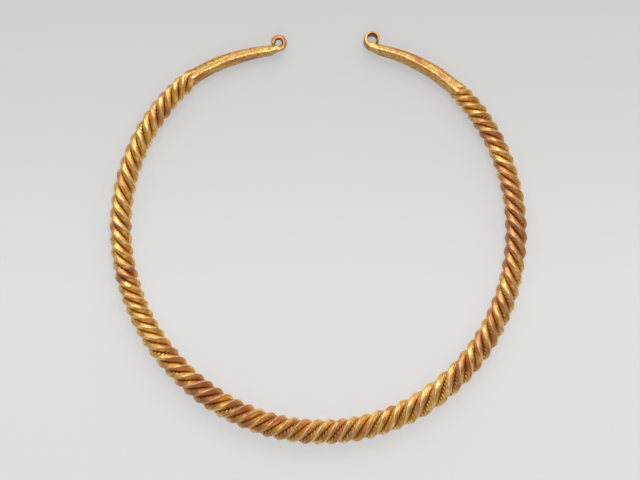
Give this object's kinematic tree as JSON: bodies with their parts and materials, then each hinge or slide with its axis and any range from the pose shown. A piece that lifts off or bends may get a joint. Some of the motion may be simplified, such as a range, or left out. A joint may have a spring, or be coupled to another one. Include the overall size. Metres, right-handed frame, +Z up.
{
  "type": "neck ring",
  "caption": "Open neck ring of twisted, flanged gold bar, with plain ends curled into small loops either side of its mouth.",
  "frame": {"origin": "centre of the ring's bounding box in plan, on the surface that the ring lies on", "axes": "+Z up, square to the ring as it lies; +Y towards the open mouth; +X to the right as seen from above with the mouth away from the viewer"},
  "size_m": [0.167, 0.1654, 0.0102],
  "materials": {
    "gold": "worn yellow gold with a coppery tinge, softly polished crests, darker soiled grooves"
  },
  "bodies": {
    "root": {"torc": "gold"}
  },
  "joints": []
}
